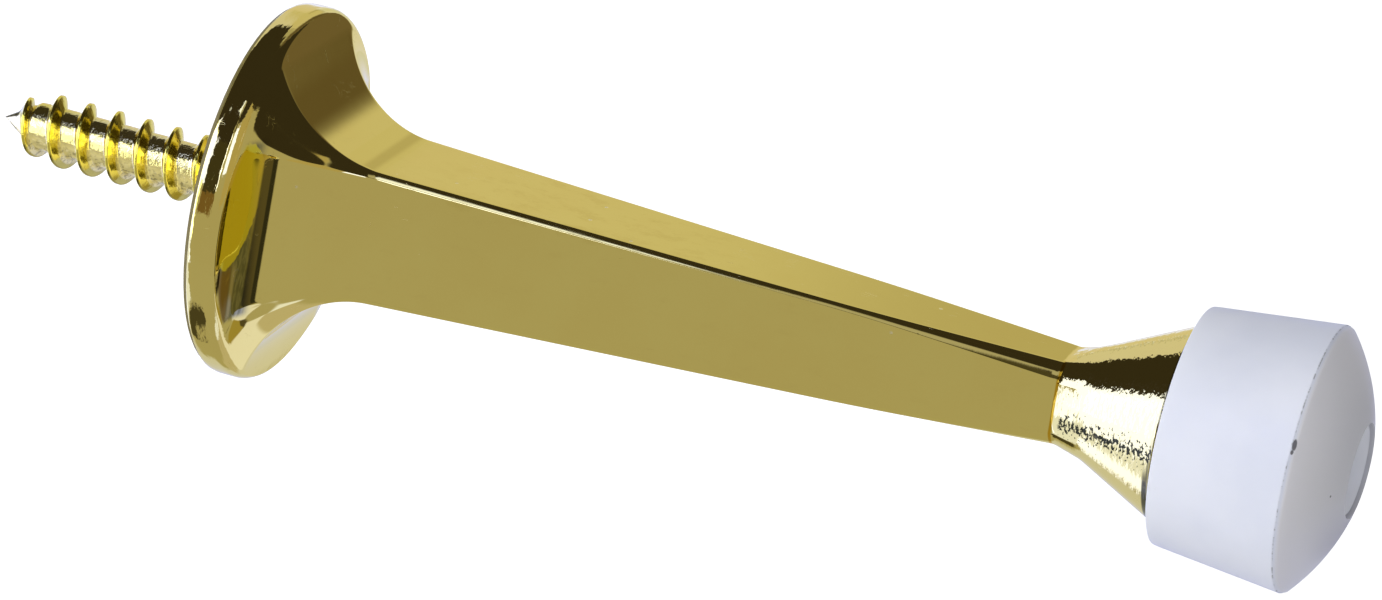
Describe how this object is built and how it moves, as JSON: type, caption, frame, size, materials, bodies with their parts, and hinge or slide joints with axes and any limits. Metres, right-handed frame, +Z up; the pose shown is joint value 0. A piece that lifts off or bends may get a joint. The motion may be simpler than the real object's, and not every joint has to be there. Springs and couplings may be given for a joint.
{
  "type": "rigid door stop",
  "caption": "Rigid door stop for a skirting board: wood screw, round flange, tapering square shank with arched flares, and a soft bumper that the door strikes.",
  "frame": {"origin": "centre of the flange's wall face", "axes": "+X along the stop's axis, out from the wall towards the bumper; the wood screw points to -X; +Z up"},
  "size_m": [0.0953, 0.0254, 0.0254],
  "materials": {
    "plated_brass": "polished plating with fine pits and a soft haze",
    "screw_brass": "bright plating, slightly rough in the thread",
    "bumper_vinyl": "off-white soft vinyl, satin, with light scuffs"
  },
  "bodies": {
    "root": {"stop_body": "plated_brass", "wood_screw": "screw_brass", "bumper": "bumper_vinyl"}
  },
  "joints": []
}
